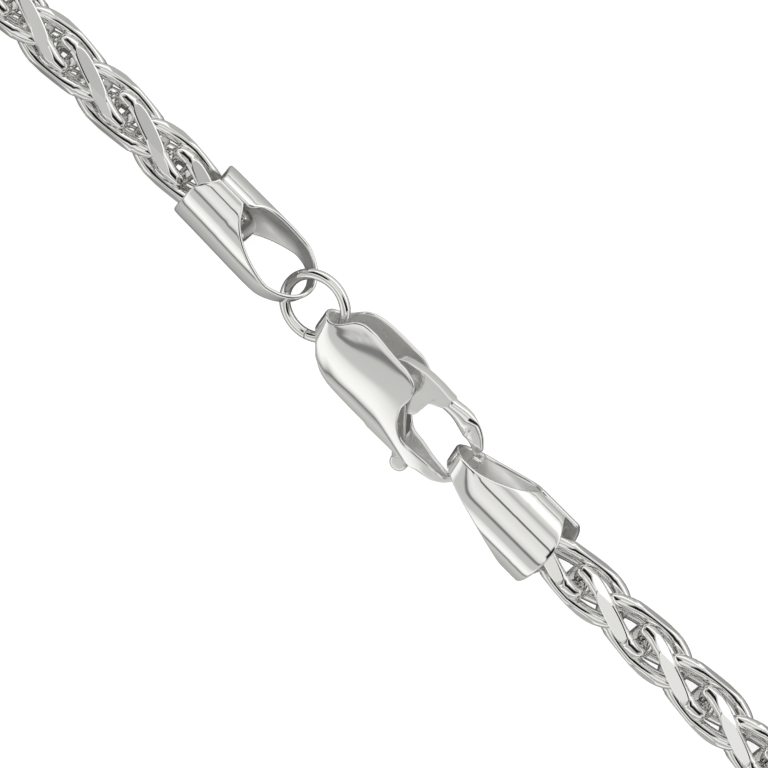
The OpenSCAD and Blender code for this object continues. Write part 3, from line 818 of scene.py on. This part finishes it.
def math_node(tree, operation, *inputs):
    """The output of a Math node whose inputs are sockets or plain numbers."""
    node = tree.nodes.new("ShaderNodeMath")
    node.operation = operation
    for socket, value in zip(node.inputs, inputs):
        if isinstance(value, bpy.types.NodeSocket):
            tree.links.new(value, socket)
        else:
            socket.default_value = value
    return node.outputs["Value"]


def light_curve(tree, rows, low, high, value):
    """A value put through straight lines between a table's rows, whose places run from low to high. The curve
    keeps the brightness as a share of the greatest, by which the last node multiplies."""
    to_share, curve = tree.nodes.new("ShaderNodeMapRange"), tree.nodes.new("ShaderNodeFloatCurve")
    to_share.inputs["From Min"].default_value = low
    to_share.inputs["From Max"].default_value = high
    brightest = max(light for at, light in rows)
    first, last = rows[0][0], rows[-1][0]
    points = curve.mapping.curves[0].points
    for row, (at, light) in enumerate(rows):
        place = ((at - first) / (last - first), light / brightest)
        if row < 2:
            points[row].location = place
        else:
            points.new(*place)
    for point in points:
        point.handle_type = "VECTOR"
    curve.mapping.update()
    tree.links.new(value, to_share.inputs["Value"])
    tree.links.new(to_share.outputs["Result"], curve.inputs["Value"])
    return math_node(tree, "MULTIPLY", curve.outputs["Value"], brightest)


table_points = np.array([[-1, -1, 0], [1, -1, 0], [1, 1, 0], [-1, 1, 0]]) * table_half
table = bpy.data.meshes.new("table_top")
table.from_pydata(table_points - [0, 0, table_clearance * mm], [], [[0, 1, 2, 3]])
table_top = bpy.data.objects.new("table_top", table)
bpy.context.scene.collection.objects.link(table_top)
table_white = bpy.data.materials.new("table_white")
table_white.use_nodes = True
tree = table_white.node_tree
nodes, links = tree.nodes, tree.links
paint = nodes["Principled BSDF"]
paint.inputs["Base Color"].default_value = (0.86, 0.86, 0.86, 1)
paint.inputs["Roughness"].default_value = 0.9
paint.inputs["Emission Color"].default_value = (1, 1, 1, 1)
paint.inputs["Emission Strength"].default_value = 0.72
shade, sight = nodes.new("ShaderNodeEmission"), nodes.new("ShaderNodeLightPath")
either, place = nodes.new("ShaderNodeMixShader"), nodes.new("ShaderNodeTexCoord")
split, from_neck = nodes.new("ShaderNodeSeparateXYZ"), nodes.new("ShaderNodeVectorMath")
reach = nodes.new("ShaderNodeVectorMath")
from_neck.operation, reach.operation = "SUBTRACT", "LENGTH"
from_neck.inputs[1].default_value = (0, neck_y * mm, 0)
links.new(place.outputs["Object"], from_neck.inputs[0])
links.new(place.outputs["Object"], split.inputs["Vector"])
links.new(from_neck.outputs["Vector"], reach.inputs[0])
off_bend = math_node(tree, "ABSOLUTE", math_node(tree, "SUBTRACT", reach.outputs["Value"], neck_r * mm))
off_front = math_node(tree, "ABSOLUTE", math_node(tree, "SUBTRACT", split.outputs["Y"], front_y * mm))
nearest = math_node(tree, "MINIMUM", off_bend, off_front)
brightness = light_curve(tree, painted_shade_rows, painted_shade_rows[0][0] * mm, painted_shade_rows[-1][0] * mm, nearest)
links.new(brightness, shade.inputs["Strength"])
shade.inputs["Color"].default_value = warm_white
# Painted shade: the silver's reflections see the table only as this emission, painted darker near the
# necklace; the camera sees the paint, evenly glowing white and lit by the tent
links.new(sight.outputs["Is Camera Ray"], either.inputs["Fac"])
links.new(shade.outputs["Emission"], either.inputs[1])
links.new(paint.outputs["BSDF"], either.inputs[2])
links.new(either.outputs["Shader"], nodes["Material Output"].inputs["Surface"])
table.materials.append(table_white)

world = bpy.data.worlds.new("light_tent")
bpy.context.scene.world = world
world.use_nodes = True
tree = world.node_tree
sky = tree.nodes["Background"]
way, split = tree.nodes.new("ShaderNodeTexCoord"), tree.nodes.new("ShaderNodeSeparateXYZ")
near = tree.nodes.new("ShaderNodeMapRange")
near.interpolation_type = "SMOOTHSTEP"
near.inputs["From Min"].default_value = card_half + card_fade
near.inputs["From Max"].default_value = card_half
tree.links.new(way.outputs["Generated"], split.inputs["Vector"])
tree.links.new(math_node(tree, "ABSOLUTE", split.outputs["Y"]), near.inputs["Value"])
lean = math_node(tree, "ARCTAN2", split.outputs["Y"], split.outputs["Z"])
tent = light_curve(tree, tent_rows, -np.pi, np.pi, lean)
card = light_curve(tree, card_rows, -1, 1, split.outputs["X"])
dark = math_node(tree, "MULTIPLY", near.outputs["Result"], card)
light = math_node(tree, "MULTIPLY", tent, math_node(tree, "SUBTRACT", 1 + card_glow, dark))
tree.links.new(light, sky.inputs["Strength"])
sky.inputs["Color"].default_value = warm_white

bpy.context.scene.view_settings.view_transform = "Standard"
camera = bpy.data.cameras.new("camera")
camera.lens = lens_mm
camera.sensor_width = sensor_mm
camera.clip_end = farthest_seen
camera_object = bpy.data.objects.new("camera", camera)
bpy.context.scene.collection.objects.link(camera_object)
distance = lens_mm / sensor_mm * view_width
camera_object.location = np.array([view_middle[0], view_middle[1], view_middle[2] + distance]) * mm
camera_object.rotation_euler = (0, 0, view_turn)
bpy.context.scene.camera = camera_object
